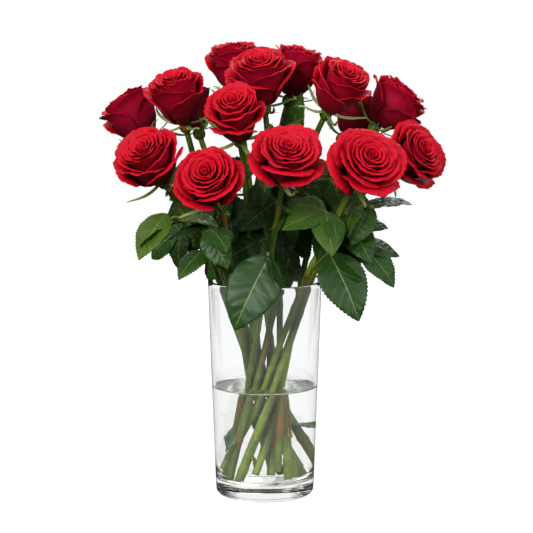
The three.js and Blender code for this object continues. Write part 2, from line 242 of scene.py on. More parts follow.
# Lets lamplight and bounced light pass straight through, so that what stands behind is lit.
def letLightThrough(tree, shader):
    path = addNode(tree, "ShaderNodeLightPath")
    either = addNode(tree, "ShaderNodeMath", {"operation": "MAXIMUM"},
                     {0: path.outputs["Is Shadow Ray"], 1: path.outputs["Is Diffuse Ray"]})
    clear = addNode(tree, "ShaderNodeBsdfTransparent", {"Color": "#fbfdfc"})
    mix = addNode(tree, "ShaderNodeMixShader",
                  links={0: either.outputs[0], 1: shader.outputs[0], 2: clear.outputs[0]})
    surface = next(n for n in tree.nodes if n.type == "OUTPUT_MATERIAL").inputs["Surface"]
    tree.links.new(mix.outputs[0], surface)


# Soda-lime glass, blown and fire-polished: clear, with a faint even tint and slow waves in the wall
# that bend the edges of what stands inside.
def sodaLimeGlass():
    material, tree, shader = startMaterial("sodaLimeGlass", {
        "Base Color": "#f8f9f9", "IOR": 1.52, "Transmission Weight": 1.0, "Roughness": 0.0,
    })
    body = addNode(tree, "ShaderNodeTexCoord")
    waves = addNode(tree, "ShaderNodeTexNoise", {"Scale": 28.0, "Detail": 1.0},
                    {"Vector": body.outputs["Object"]})
    bump = addNode(tree, "ShaderNodeBump", {"Strength": 0.12, "Distance": 0.5 * mm},
                   {"Height": waves.outputs["Fac"]})
    wipe = addNode(tree, "ShaderNodeTexNoise", {"Scale": 60.0, "Detail": 6.0},
                   {"Vector": body.outputs["Object"]})
    haze = addNode(tree, "ShaderNodeMapRange", {"From Min": 0.6, "To Min": 0.0, "To Max": 0.02},
                   {"Value": wipe.outputs["Fac"]})
    tree.links.new(bump.outputs[0], shader.inputs["Normal"])
    tree.links.new(haze.outputs[0], shader.inputs["Roughness"])
    letLightThrough(tree, shader)
    return material


# Fresh tap water, very slightly tinted by the cut stems, with faint ripples on its top.
def freshWater(level):
    material, tree, shader = startMaterial("freshWater", {
        "Base Color": "#fdfefb", "IOR": 1.333, "Transmission Weight": 1.0, "Roughness": 0.0,
    })
    body = addNode(tree, "ShaderNodeTexCoord")
    ripple = addNode(tree, "ShaderNodeTexNoise", {"Scale": 110.0, "Detail": 2.0},
                     {"Vector": body.outputs["Object"]})
    axes = addNode(tree, "ShaderNodeSeparateXYZ", links={"Vector": body.outputs["Object"]})
    atTop = addNode(tree, "ShaderNodeMapRange",
                    {"From Min": level - 3 * mm, "From Max": level - 1 * mm, "To Min": 0.03, "To Max": 1.0},
                    {"Value": axes.outputs["Z"]})
    bump = addNode(tree, "ShaderNodeBump", {"Distance": 1.3 * mm},
                   {"Height": ripple.outputs["Fac"], "Strength": atTop.outputs[0]})
    tree.links.new(bump.outputs[0], shader.inputs["Normal"])
    letLightThrough(tree, shader)
    return material


def unit(v):
    v = np.asarray(v, float)
    return v / np.maximum(np.linalg.norm(v, axis=-1, keepdims=True), 1e-12)


# Splits a sheet into its two faces, thinner towards its edges, with a rim that joins them.
def thicken(points, thickness):
    normal = unit(np.cross(np.gradient(points, axis=1), np.gradient(points, axis=0)))
    rows, cols = points.shape[:2]
    fromEdge = np.minimum(np.minimum(*np.ogrid[0:rows, 0:cols]),
                          np.minimum(*np.ogrid[rows - 1:-1:-1, cols - 1:-1:-1]))
    half = thickness / 2 * (0.45 + 0.55 * np.minimum(fromEdge, 2) / 2)
    return points + normal * half[..., None], points - normal * half[..., None]


# One object from many sheets and tubes. A patch holds its points row by row, and either a
# thickness, or ring when its rows are closed loops, which are then capped at both ends.
def buildPiece(name, patches, materials):
    coords, faces, marks, uvs, ages = [], [], [], [], []

    def addGrid(points, patch, mark, flip=False):
        start = sum(len(c) for c in coords)
        rows, cols = points.shape[:2]
        index = start + np.arange(rows * cols).reshape(rows, cols)
        ring = patch.get("ring", False)
        wide = np.hstack([index, index[:, :1]]) if ring else index
        across = np.linspace(0, 1, wide.shape[1])
        length = patch.get("grainLength", 1.0)
        place = np.stack(np.meshgrid(across, np.linspace(0, length, rows)), axis=-1)
        corners = [(slice(None, -1), slice(None, -1)), (slice(None, -1), slice(1, None)),
                   (slice(1, None), slice(1, None)), (slice(1, None), slice(None, -1))]
        if flip:
            corners = corners[::-1]
        quads = np.stack([wide[c] for c in corners], axis=-1).reshape(-1, 4)
        coords.append(points.reshape(-1, 3))
        faces.extend(quads.tolist())
        marks.extend([mark] * len(quads))
        uvs.append(np.stack([place[c] for c in corners], axis=2).reshape(-1, 2))
        ages.append((np.zeros((rows, cols)) + np.reshape(patch.get("age", 0.0), (-1, 1))).ravel())
        return index

    def addFlat(loop, mark):
        faces.append(list(loop))
        marks.append(mark)
        uvs.append(np.full((len(loop), 2), 0.5))

    for patch in patches:
        mark = patch.get("material", 0)
        if patch.get("thickness"):
            over, below = thicken(patch["points"], patch["thickness"])
            a = addGrid(over, patch, mark + 1)
            b = addGrid(below, patch, mark, flip=True)
            rimA = np.concatenate([a[0, :-1], a[:-1, -1], a[-1, :0:-1], a[:0:-1, 0]])
            rimB = np.concatenate([b[0, :-1], b[:-1, -1], b[-1, :0:-1], b[:0:-1, 0]])
            place = np.linspace(0, 1, len(rimA))
            for k in range(len(rimA)):
                n = (k + 1) % len(rimA)
                faces.append([int(rimA[n]), int(rimA[k]), int(rimB[k]), int(rimB[n])])
                marks.append(mark)
                uvs.append(np.array([[place[n], 0.97], [place[k], 0.97]] * 2))
        else:
            index = addGrid(patch["points"], patch, mark)
            if patch.get("ring"):
                addFlat(index[0, ::-1].tolist(), mark)
                addFlat(index[-1].tolist(), mark)

    mesh = bpy.data.meshes.new(name)
    mesh.from_pydata(np.concatenate(coords).tolist(), [], faces)
    mesh.uv_layers.new(name="grain").data.foreach_set("uv", np.concatenate(uvs).ravel())
    mesh.attributes.new("age", "FLOAT", "POINT").data.foreach_set("value", np.concatenate(ages))
    for material in materials:
        mesh.materials.append(material)
    mesh.polygons.foreach_set("material_index", marks)
    mesh.polygons.foreach_set("use_smooth", [len(f) == 4 for f in faces])
    mesh.update()
    piece = bpy.data.objects.new(name, mesh)
    bpy.context.scene.collection.objects.link(piece)
    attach(piece, "root")
    return piece


# Evenly spaced points along a smooth curve through the ones given.
def smoothLine(points, spacing):
    points = np.asarray(points, float)
    padded = np.vstack([2 * points[0] - points[1], points, 2 * points[-1] - points[-2]])
    t = np.linspace(0, 1, 12, endpoint=False)[:, None]
    fine = [0.5 * (2 * b + (c - a) * t + (2 * a - 5 * b + 4 * c - d) * t ** 2
                   + (3 * b - a - 3 * c + d) * t ** 3)
            for a, b, c, d in zip(padded, padded[1:], padded[2:], padded[3:])]
    fine = np.vstack([*fine, points[-1:]])
    reach = np.concatenate([[0], np.cumsum(np.linalg.norm(np.diff(fine, axis=0), axis=1))])
    even = np.linspace(0, reach[-1], max(3, round(reach[-1] / spacing) + 1))
    return np.stack([np.interp(even, reach, fine[:, k]) for k in range(points.shape[1])], axis=1)


# Rings of points round a line. The radius may change along the line and round it.
def tube(line, radius, sides):
    along = unit(np.gradient(line, axis=0))
    side = unit(np.cross(along[0], [0.3, 1.0, 0.2]))
    angle = np.linspace(0, 2 * math.pi, sides, endpoint=False)
    radius = np.broadcast_to(np.asarray(radius, float).reshape(len(np.atleast_1d(radius)), -1),
                             (len(line), sides))
    rings = []
    for k, point in enumerate(line):
        side = unit(side - along[k] * np.dot(side, along[k]))
        other = np.cross(along[k], side)
        rings.append(point + radius[k][:, None] * (np.cos(angle)[:, None] * side
                                                   + np.sin(angle)[:, None] * other))
    return np.array(rings)


def cornersOf(name):
    mesh = nodes[name].data
    points = np.zeros(len(mesh.vertices) * 3)
    mesh.vertices.foreach_get("co", points)
    return np.unique(np.round(points.reshape(-1, 3), 6), axis=0)


def trianglesOf(name):
    mesh = nodes[name].data
    mesh.calc_loop_triangles()
    points = np.zeros(len(mesh.vertices) * 3)
    mesh.vertices.foreach_get("co", points)
    index = np.zeros(len(mesh.loop_triangles) * 3, int)
    mesh.loop_triangles.foreach_get("vertices", index)
    return np.round(points.reshape(-1, 3), 6)[index.reshape(-1, 3)]


# Where a bloom stands: the middle of its foot, its axis, its height and its radius.
def bloomSeat(number):
    points = cornersOf(f"bloom_{number:02d}")
    axis = unit(points.mean(0) - cornersOf(f"calyx_{number:02d}").mean(0))
    for _ in range(3):
        height = points @ axis
        foot = points[height < height.min() + 1 * mm].mean(0)
        axis = unit(points.mean(0) - foot)
    height = (points - foot) @ axis
    radial = points - foot - height[:, None] * axis
    return {"foot": foot, "axis": axis, "height": height.max(),
            "radius": np.linalg.norm(radial, axis=1).max()}


# The directions across a bloom's axis, the first towards the point given.
def acrossAxes(seat, toward):
    first = toward - seat["foot"]
    first = unit(first - seat["axis"] * (first @ seat["axis"]))
    return first, np.cross(seat["axis"], first)


# A stem's centre line, from the middles of its sections at even heights.
def stemLine(number, seat, hipLength):
    firstCut, between = 3 * mm, 7 * mm
    name = f"stem_{number:02d}"
    triangles = trianglesOf(name)
    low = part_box(name)[0]
    calyxFoot = seat["foot"] - seat["axis"] * hipLength
    shoulder = calyxFoot - seat["axis"] * 10 * mm
    points = []
    for z in np.arange(low.z + firstCut, shoulder[2] - 2 * mm, between):
        weight, middle = 0.0, np.zeros(3)
        for triangle in triangles[(triangles[:, :, 2].min(1) < z) & (triangles[:, :, 2].max(1) > z)]:
            cut = [p + (q - p) * (z - p[2]) / (q[2] - p[2])
                   for p, q in zip(triangle, np.roll(triangle, -1, axis=0)) if (p[2] - z) * (q[2] - z) < 0]
            if len(cut) == 2:
                length = np.linalg.norm(cut[1] - cut[0])
                weight += length
                middle += length * (cut[0] + cut[1]) / 2
        if weight:
            points.append(middle / weight)
    foot = points[0] + (points[0] - points[1]) * firstCut / between
    return smoothLine([foot, *points, shoulder, calyxFoot], 2 * mm)


leafletBend = math.radians(32)  # from a leaflet's base to its tip
lastPart = 0.2498  # of a leaflet's length, from the ring of points before the tip to the tip
lastTurn = leafletBend * 0.875  # the bend at the middle of that part


# The five leaflets of a leaf, each from its pointed tip and the ring of points before it.
def leafletSeats(name):
    triangles = trianglesOf(name)
    points, index = np.unique(triangles.reshape(-1, 3), axis=0, return_inverse=True)
    index = index.reshape(-1, 3)
    turn, near = np.zeros(len(points)), [set() for _ in points]
    for a, b, c in index:
        for p, q, r in ((a, b, c), (b, c, a), (c, a, b)):
            u, v = unit(points[q] - points[p]), unit(points[r] - points[p])
            turn[p] += math.degrees(math.acos(max(-1, min(1, u @ v))))
            near[p] |= {q, r}
    seats = []
    for tip in np.argsort(turn)[:5]:
        ring = [points[n] for n in near[tip]]
        pairs = [(np.linalg.norm(p - q), i, j)
                 for i, p in enumerate(ring) for j, q in enumerate(ring) if i < j]
        _, i, j = max(pairs)
        rest = np.mean([p for k, p in enumerate(ring) if k not in (i, j)], axis=0)
        chord = points[tip] - rest
        along, across = unit(chord), unit(ring[i] - ring[j])
        face = unit(np.cross(across, along))
        if face @ ((ring[i] + ring[j]) / 2 - rest) < 0:
            face = -face
        length = np.linalg.norm(chord) / lastPart
        heading = math.cos(lastTurn) * along + math.sin(lastTurn) * face
        face = math.cos(lastTurn) * face - math.sin(lastTurn) * along
        base = (points[tip] - heading * length * math.sin(leafletBend) / leafletBend
                - face * length * (math.cos(leafletBend) - 1) / leafletBend)
        seats.append({"base": base, "heading": heading, "face": face, "length": length})
    bases = np.array([seat["base"] for seat in seats])
    apart = np.linalg.norm(bases[:, None] - bases, axis=2) + 10 * np.eye(5)
    end = seats[int(apart.min(1).argmax())]  # side leaflets stand in pairs, the end one on its own
    sideSeats = [seat for seat in seats if seat is not end]
    seats = sorted(sideSeats, key=lambda seat: np.linalg.norm(seat["base"] - end["base"]))
    upper = (seats[0]["base"] + seats[1]["base"]) / 2
    lower = (seats[2]["base"] + seats[3]["base"]) / 2
    start = lower + (lower - upper) * 0.95
    closest = points[np.argsort(np.linalg.norm(points - start, axis=1))[:4]].mean(0)
    return [end, *seats], [closest, lower, upper, end["base"]]


bloomForm = {
    "petals": 25,
    "cup": ([0, 0.08, 0.23, 0.43, 0.64, 0.82, 1.1], [0.2, 0.5, 0.74, 0.88, 0.94, 0.97, 0.98]),
    "lips": ([0, 0.28, 0.6, 0.85, 1], [0.93, 0.98, 0.95, 0.88, 0.8]),  # height of a lip by its reach
    "thickness": 0.45 * mm,
    "rows": 26, "columns": 36,
}
# how far each rose has opened, from a tight cup to a flat rosette
openings = [0.2, 0.25, 0.5, 0.5, 0.3, 0.45, 0.55, 0.8, 0.35, 0.35, 0.85, 0.75, 0.4, 0.3, 0.2]


# A sum of a few slow waves, for edges that wander.
def wander(place, dice, waves):
    total = np.zeros_like(place)
    for k in range(waves):
        total += np.sin(place * (1.6 + 1.9 * k) + dice.uniform(0, 2 * math.pi)) / (1 + 0.6 * k)
    return total / waves


# One petal of a bloom that stands on +Z. Reach is 0 at the heart and 1 for the outermost.
def petal(reach, turn, seat, opening, dice):
    form = bloomForm
    high, wide = seat["height"], seat["radius"]
    across = np.linspace(-1, 1, form["columns"])[None, :]
    rise = np.linspace(0.04 if reach > 0.3 else 0.25, 1, form["rows"])[:, None]
    outer = max(0.0, (reach - 0.55) / 0.45)
    tip = dice.uniform(0.02, 0.07) * outer
    arch = 1 - (0.1 + 0.3 * outer) * np.abs(across) ** 3 + tip * np.exp(-(across / 0.15) ** 2)
    lipHeight = np.interp(reach, *form["lips"]) + dice.uniform(-0.025, 0.025)
    if reach > 0.9:  # guard petals hang a little lower
        lipHeight -= dice.uniform(0.02, 0.16) * (0.4 + opening)
    level = rise * arch  # share of the petal's height
    height = high * lipHeight * level
    cup = np.interp(height / high, *form["cup"]) / 0.97
    belly = reach * (1 - (0.1 + 0.2 * opening) * (1 - level ** 2) * (0.3 + 0.7 * reach))
    radius = wide * 0.94 * belly * cup
    # the lip rolls outwards, early and far on the outer petals
    start = 0.9 - 0.22 * reach - 0.08 * opening * outer
    roll = np.clip((rise - start) / (1 - start), 0, 1)
    run = (1 - start) * lipHeight * high
    wave = wander(across * 3.0, dice, 3)
    outward = run * (0.36 + 0.2 * outer + 0.12 * wave) * dice.uniform(0.8, 1.2)
    over = run * (0.4 + 0.2 * outer + 0.16 * wander(across * 3.0, dice, 2)) * dice.uniform(0.8, 1.15)
    free = 1 if reach < 0.6 else 0.42 + 0.58 * opening  # a tight rose keeps its outer petals in
    free = free * (1 - 0.5 * np.abs(across) ** 5)  # and its corners stay round
    radius = radius + outward * free * roll ** 1.6 * (1 if reach > 0.12 else 0.3)
    height = height - over * free * roll ** 2.6
    # side edges of the outer petals roll back too
    side = np.clip((np.abs(across) - 0.66) / 0.34, 0, 1)
    flare = outer * dice.uniform(1.2, 3.2) * mm
    radius = radius + flare * side ** 2 * (level ** 1.3 + 0.6 * level ** 4) * (1 - 0.5 * roll)
    radius = radius + (0.25 + 0.75 * reach) * 1.0 * mm * wander(across * 7 + rise * 2, dice, 3) * level ** 4
    crimp = (0.05 + 0.5 * reach) * mm * wander(across * 24, dice, 2)
    radius = radius + crimp * roll
    height = height + ((0.2 + 0.8 * reach) * 1.2 * mm * wander(across * 8, dice, 3) + 0.8 * crimp) * roll
    tuck = 0.06 if reach > 0.2 else 0.06 + 1.2 * (0.2 - reach)
    radius = radius * (1 + tuck * across) + 0.3 * mm
    span = math.radians(np.interp(reach, [0, 0.15, 0.35, 1], [150, 105, 80, 66]))
    angle = turn + across * span * (0.72 + 0.28 * np.sqrt(level))
    return np.stack([radius * np.cos(angle), radius * np.sin(angle), height + 0 * angle], axis=-1)


def bloomPiece(number, seat, materials):
    dice = random.Random(100 + number)
    opening = openings[number - 1]
    first, second = acrossAxes(seat, seat["foot"] + np.array([0.3, 0.9, 0.4]))
    frameAxes = np.array([first, second, seat["axis"]])
    patches = []
    count = bloomForm["petals"]
    turn = dice.uniform(0, 2 * math.pi)
    for k in range(count):
        share = k / (count - 1)
        reach = 0.035 + 0.965 * share ** 1.2 + dice.uniform(-0.008, 0.008)
        turn += goldenTurn + dice.uniform(-0.15, 0.15)
        points = petal(reach, turn, seat, opening, dice)
        patches.append({"points": seat["foot"] + points @ frameAxes, "thickness": bloomForm["thickness"]})
    name = f"bloom_{number:02d}"
    piece = buildPiece(f"petals_{number:02d}", patches, materials)
    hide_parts(name)


calyxForm = {
    "hip": ([0, 0.06, 0.25, 0.5, 0.78, 0.95, 1.0], [0.5, 0.66, 0.9, 1.0, 0.9, 0.78, 0.6]),
    "hipRadius": 5.7 * mm,
    "length": 9.3 * mm,  # with the gaps above and below it closed
    "sepalWidth": 5.5 * mm,
    "lobes": 2,
}


# A narrow blade along a line, folded a little along its middle.
def strap(line, face, halfWidths, fold, columns=7):
    along = unit(np.gradient(line, axis=0))
    across = unit(np.cross(face, along))
    normal = unit(np.cross(along, across))
    place = np.linspace(-1, 1, columns)
    shift = halfWidths[:, None] * place
    return (line[:, None] + across[:, None] * shift[..., None]
            + normal[:, None] * (fold * np.abs(shift))[..., None])


def calyxPiece(number, seat, materials):
    dice = random.Random(300 + number)
    name = f"calyx_{number:02d}"
    points = cornersOf(name)
    fromAxis = points - seat["foot"]
    fromAxis = fromAxis - (fromAxis @ seat["axis"])[:, None] * seat["axis"]
    farthest = points[np.argmax(np.linalg.norm(fromAxis, axis=1))]
    first, second = acrossAxes(seat, farthest)
    axis, length = seat["axis"], calyxForm["length"]
    base = seat["foot"] - axis * length
    level = np.linspace(0, 1, 16)
    line = base + axis * (level * (length + 0.8 * mm))[:, None]
    hip = tube(line, calyxForm["hipRadius"] * np.interp(level, *calyxForm["hip"]), 24)
    patches = [{"points": hip, "ring": True, "age": dice.uniform(0, 0.2), "material": 2}]
    for k in range(5):
        angle = k * 2 * math.pi / 5
        out = first * math.cos(angle) + second * math.sin(angle)
        level = np.linspace(0, 1, 26)
        reach = dice.uniform(27, 37) * mm
        lift = math.radians(dice.uniform(48, 70))  # how far it turns up round the bloom
        curl = math.radians(dice.choice([-1, -1, 1]) * dice.uniform(20, 110))  # of its loose tip
        swing = math.radians(dice.uniform(-30, 30))
        tilt = -math.radians(8) + lift * level + curl * np.clip(level - 0.55, 0, 1) ** 2 * 3
        yaw = swing * level ** 2
        side = np.cross(axis, out)
        step = (np.cos(tilt) * np.cos(yaw))[:, None] * out + (np.cos(tilt) * np.sin(yaw))[:, None] * side
        step = step + np.sin(tilt)[:, None] * axis
        start = base + axis * length * 0.8 + out * 3 * mm
        line = start + np.cumsum(step, axis=0) * reach / len(level)
        face = np.cos(tilt)[:, None] * axis - np.sin(tilt)[:, None] * out
        half = calyxForm["sepalWidth"] / 2 * 1.5 * np.sqrt(1 - level) * (0.4 + level) * (1 - 0.45 * level)
        half = np.maximum(half, 0.25 * mm)
        blade = strap(line, face, half, 0.25)
        patches.append({"points": blade, "thickness": 0.7 * mm, "age": dice.uniform(0.0, 0.5)})
        for lobe in range(dice.randint(0, calyxForm["lobes"])):
            at = dice.randint(9, 17)
            hand = dice.choice([-1, 1])
            size = dice.uniform(5, 10) * mm
            away = unit(step[at] + hand * 1.3 * unit(np.cross(face[at], step[at])))
            grow = np.linspace(0, 1, 9)
            droop = -axis * (grow ** 2 * size * dice.uniform(-0.3, 0.4))[:, None]
            twig = line[at] + away * (grow * size)[:, None] + droop
            narrow = 0.55 * mm * (1.1 - grow)
            patches.append({"points": strap(twig, np.repeat(face[at][None], 9, 0), narrow, 0.2, 3),
                            "thickness": 0.5 * mm, "age": dice.uniform(0.1, 0.6)})
    piece = buildPiece(f"sepals_{number:02d}", patches, materials)
    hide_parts(name)


stemForm = {
    "radius": 2.85 * mm,
    "joint": 52 * mm,  # between the rings where leaves once grew
    "thorn": 3.6 * mm,
    "sides": 18,
}


def stemPiece(number, line, material):
    dice = random.Random(500 + number)
    reach = np.arange(len(line)) * 2 * mm
    radius = stemForm["radius"] * (1.04 - 0.16 * reach / reach[-1])
    ring = dice.uniform(10, 50) * mm
    bulges = []
    while ring < reach[-1] - 15 * mm:
        radius = radius * (1 + 0.17 * np.exp(-((reach - ring) / (2.6 * mm)) ** 2))
        bulges.append(ring)
        ring += stemForm["joint"] * dice.uniform(0.7, 1.3)
    angle = np.linspace(0, 2 * math.pi, stemForm["sides"], endpoint=False)
    ridges = 1 + 0.025 * np.sin(angle * 5 + reach[:, None] * 40)
    tone = dice.uniform(-0.15, 0.1)
    # some have a bruised brown stretch low down, where the rind was stripped
    bruise = dice.choice([0, 0, 0.2, 0.32]) * np.exp(-((reach - dice.uniform(15, 90) * mm) / (22 * mm)) ** 2)
    patches = [{"points": tube(line, radius[:, None] * ridges, stemForm["sides"]), "ring": True,
                "age": tone + bruise, "grainLength": reach[-1] / 0.18}]
    along = unit(np.gradient(line, axis=0))
    for k in range(3):
        at = dice.randint(int(len(line) * 0.62), len(line) - 12)
        side = unit(np.cross(along[at], [dice.uniform(-1, 1), dice.uniform(-1, 1), 0.2]))
        grow = np.linspace(0, 1, 7)[:, None]
        size = stemForm["thorn"] * dice.uniform(0.7, 1.1)
        spine = line[at] + side * (radius[at] * 0.8 + grow * size) - along[at] * grow ** 2 * size * 0.55
        wide = 1.5 * mm * (1 - grow[:, 0]) ** 1.4 + 0.12 * mm
        patches.append({"points": tube(spine, wide, 8), "ring": True, "age": tone + 0.35})
    name = f"stem_{number:02d}"
    piece = buildPiece(f"stalk_{number:02d}", patches, [material])
    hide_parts(name)


leafForm = {
    "halfWidth": 0.32,  # of the length
    "teeth": 19,
    "tooth": 1.5 * mm,
    "quilt": 0.6 * mm,  # how far the blade swells between its veins
    "thickness": 0.4 * mm,
    "stalk": 1.15 * mm,
    "layers": [2.0 * mm, 0.8 * mm, -0.2 * mm, -1.4 * mm, -2.4 * mm],  # neighbours lie over each other
    "rows": 116, "columns": 21,
}
# 0 is old and dark, 1 young and yellow green
leafAges = [0.55, 0.1, 0.25, 0.15, 0.05, 0.1, 0.32, 0.1, 0.3, 0.2, 0.1, 0.1, 0.15]


def leaflet(seat, dice, age, layer=0.0):
    form = leafForm
    length = seat["length"]
    heading, face = seat["heading"], seat["face"]
    across = np.cross(face, heading)
    along = np.linspace(0, 1, form["rows"])
    place = np.linspace(-1, 1, form["columns"])[None, :]
    bend = leafletBend * along
    line = (seat["base"] + heading * (length * np.sin(bend) / leafletBend)[:, None]
            + face * (length * (np.cos(bend) - 1) / leafletBend)[:, None])
    up = face * np.cos(bend)[:, None] + heading * np.sin(bend)[:, None]
    half = form["halfWidth"] * length * np.sin(math.pi * along ** 0.75).clip(0) ** 0.8
    half = np.maximum(half, 0.35 * mm)[:, None]
    saw = (along * form["teeth"]) % 1.0
    inside = np.clip(along * 6, 0, 1) * np.clip((1 - along) * 8, 0, 1)
    edge = (form["tooth"] * (saw - 0.5) * inside)[:, None] * np.abs(place) ** 10
    shift = place * half + np.sign(place) * edge
    fromRib = np.sqrt(shift ** 2 + (0.5 * mm) ** 2)
    phase = along[:, None] * leafFinish["veins"] - leafFinish["veinSlope"] * np.abs(place)
    swell = form["quilt"] * np.sin(math.pi * (phase % 1.0)) ** 0.7 * (1 - np.abs(place) ** 3)
    swell = swell * np.clip(half / (8 * mm), 0, 1)
    lift = dice.uniform(0.04, 0.15) * fromRib - dice.uniform(0.03, 0.12) * shift ** 2 / half
    lift = lift + (layer * np.clip(along * 6, 0, 1))[:, None]
    swell = swell * (0.75 + 0.5 * wander(along * 14, dice, 2))[:, None]
    wave = dice.uniform(0.4, 1.1) * mm * wander(along[:, None] * 9 + np.sign(place) * 2, dice, 2) * place ** 2
    droop = -dice.uniform(0.0, 0.05) * length * along[:, None] ** 3
    height = lift + swell + wave + droop
    points = line[:, None] + across * shift[..., None] + up[:, None] * height[..., None]
    rise = lift[:, form["columns"] // 2] + droop[:, 0] - 0.35 * mm
    rib = (line + up * rise[:, None])[:-6:4]
    thin = np.linspace(0.65, 0.2, len(rib)) * mm
    return [{"points": points, "thickness": form["thickness"], "age": age},
            {"points": tube(rib, thin, 6), "ring": True, "material": 2, "age": 0.0}]


def leafFromSeats(name, seats, stalk, age, dice, materials):
    patches = []
    for seat, layer in zip(seats, leafForm["layers"]):
        patches += leaflet(seat, dice, min(1, max(0, age + dice.uniform(-0.12, 0.12))), layer)
    line = smoothLine(stalk, 1.5 * mm)
    into = line[0] + (line[0] - line[1]) * 1.2
    line = np.vstack([into, line])
    wide = leafForm["stalk"] * (1 + 0.7 * np.exp(-np.arange(len(line)) / 1.8))
    patches.append({"points": tube(line, wide, 10), "ring": True, "material": 2, "age": 0.05})
    return buildPiece(name, patches, materials)


def leafPiece(number, materials):
    seats, stalk = leafletSeats(f"leaf_{number:02d}")
    dice = random.Random(700 + number)
    piece = leafFromSeats(f"leaflets_{number:02d}", seats, stalk, leafAges[number - 1], dice, materials)
    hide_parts(f"leaf_{number:02d}")


# Small leaves between the stems, each on a stem of its own: stem, height in m, compass direction
# and rise of its stalk in degrees, the lean and compass direction that it faces, and its size.
innerLeaves = [
    (6, 0.285, -75, -28, 60, -78, 1.0), (4, 0.268, 175, 0, 60, -110, 1.0),
    (9, 0.265, -20, 0, 60, -90, 1.05), (9, 0.238, -150, 5, 65, -90, 1.0),
    (10, 0.275, -50, 22, 55, -80, 0.95), (10, 0.238, 215, -10, 62, -82, 0.88),
    (13, 0.25, -75, 3, 50, -92, 0.9), (2, 0.245, 180, -15, 55, -108, 0.85),
    (15, 0.238, 0, 0, 60, -40, 0.9), (5, 0.236, -35, 13, 62, -78, 0.97),
    (1, 0.263, 120, 35, 50, 140, 0.75),
    (14, 0.27, 90, 35, 50, 75, 0.62), (5, 0.27, 100, 40, 50, 100, 0.62),
    (15, 0.258, 100, 40, 50, 110, 0.68), (9, 0.265, 95, 48, 50, 92, 0.7),
    (5, 0.244, -65, 20, 62, -112, 0.7), (10, 0.225, 270, -55, 75, -60, 0.6),
]


# Leaflets that were missed when the stems were stripped, under water: stem, height in m, compass
# direction and rise in degrees, length in m, and age, where 1 is yellow and about to drop.
drownedLeaves = [
    (7, 0.066, 200, -35, 0.034, 0.2), (12, 0.062, 170, -60, 0.015, 1.0), (13, 0.04, -10, -62, 0.016, 1.0),
    (5, 0.062, 15, -68, 0.018, 1.0), (1, 0.062, -25, 5, 0.022, 0.45), (10, 0.05, 190, -20, 0.016, 0.35),
]


def pointing(lean, toward):
    lean, toward = math.radians(lean), math.radians(toward)
    return np.array([math.sin(lean) * math.cos(toward), math.sin(lean) * math.sin(toward), math.cos(lean)])


def drownedLeafPiece(number, stemPoints, plan, materials):
    _, z, toward, rise, length, age = plan
    dice = random.Random(1100 + number)
    start = stemPoints[np.argmin(np.abs(stemPoints[:, 2] - z))]
    heading = pointing(90 - rise, toward)
    face = unit(np.cross(heading, pointing(90, toward + 90 + dice.uniform(-40, 40))))
    seat = {"base": start, "heading": heading, "face": face, "length": length}
    buildPiece(f"drownedLeaflet_{number:02d}", leaflet(seat, dice, age), materials)


def innerLeafPiece(number, stemPoints, plan, materials):
    _, z, toward, rise, lean, facing, size = plan
    dice = random.Random(900 + number)
    start = stemPoints[np.argmin(np.abs(stemPoints[:, 2] - z))]
    heading = pointing(90 - rise, toward)
    face = pointing(lean, facing)
    face = unit(face - heading * (face @ heading))
    across = np.cross(face, heading)
    sag = math.radians(30)
    length = 40 * mm * size
    share = np.array([0, 0.42, 0.86, 1.0])
    stalk = (start + heading * (length * np.sin(sag * share) / sag)[:, None]
             + face * (length * (np.cos(sag * share) - 1) / sag)[:, None])
    seats = []
    for k, hand, long in ((3, 0, 50), (2, -1, 42), (2, 1, 42), (1, -1, 35), (1, 1, 35)):
        turn = sag * share[k]
        along = heading * math.cos(turn) - face * math.sin(turn)
        side = hand * math.radians(60)
        seats.append({"base": stalk[k], "length": long * size * mm,
                      "heading": along * math.cos(side) + across * math.sin(side),
                      "face": face * math.cos(turn) + heading * math.sin(turn)})
    return leafFromSeats(f"leaflets_{number:02d}", seats, stalk, dice.uniform(0.0, 0.2), dice, materials)


vaseForm = {
    "wall": 2.4 * mm,
    "floor": 14 * mm,
    "footRadius": 43 * mm,
    "footFillet": 5 * mm,
    "innerFillet": 6 * mm,
    "punt": 1.2 * mm,  # hollow pressed into the underside
    "meniscus": 1.6 * mm,
    "seal": 0.15 * mm,  # how far the water reaches into the wall, so that no film of air shows
    "sides": 160,
}


def bow(x, z, radius, start, end, steps):
    angle = np.radians(np.linspace(start, end, steps + 1))
    return [(x + radius * math.cos(a), z + radius * math.sin(a)) for a in angle]


def lathe(outline):
    angle = np.linspace(0, 2 * math.pi, vaseForm["sides"], endpoint=False)
    return np.array([[(r * math.cos(a), r * math.sin(a), z) for a in angle] for r, z in outline])


def innerWall(z, rimRadius, height):
    form = vaseForm
    return form["footRadius"] - form["wall"] + (rimRadius - form["footRadius"]) * z / height


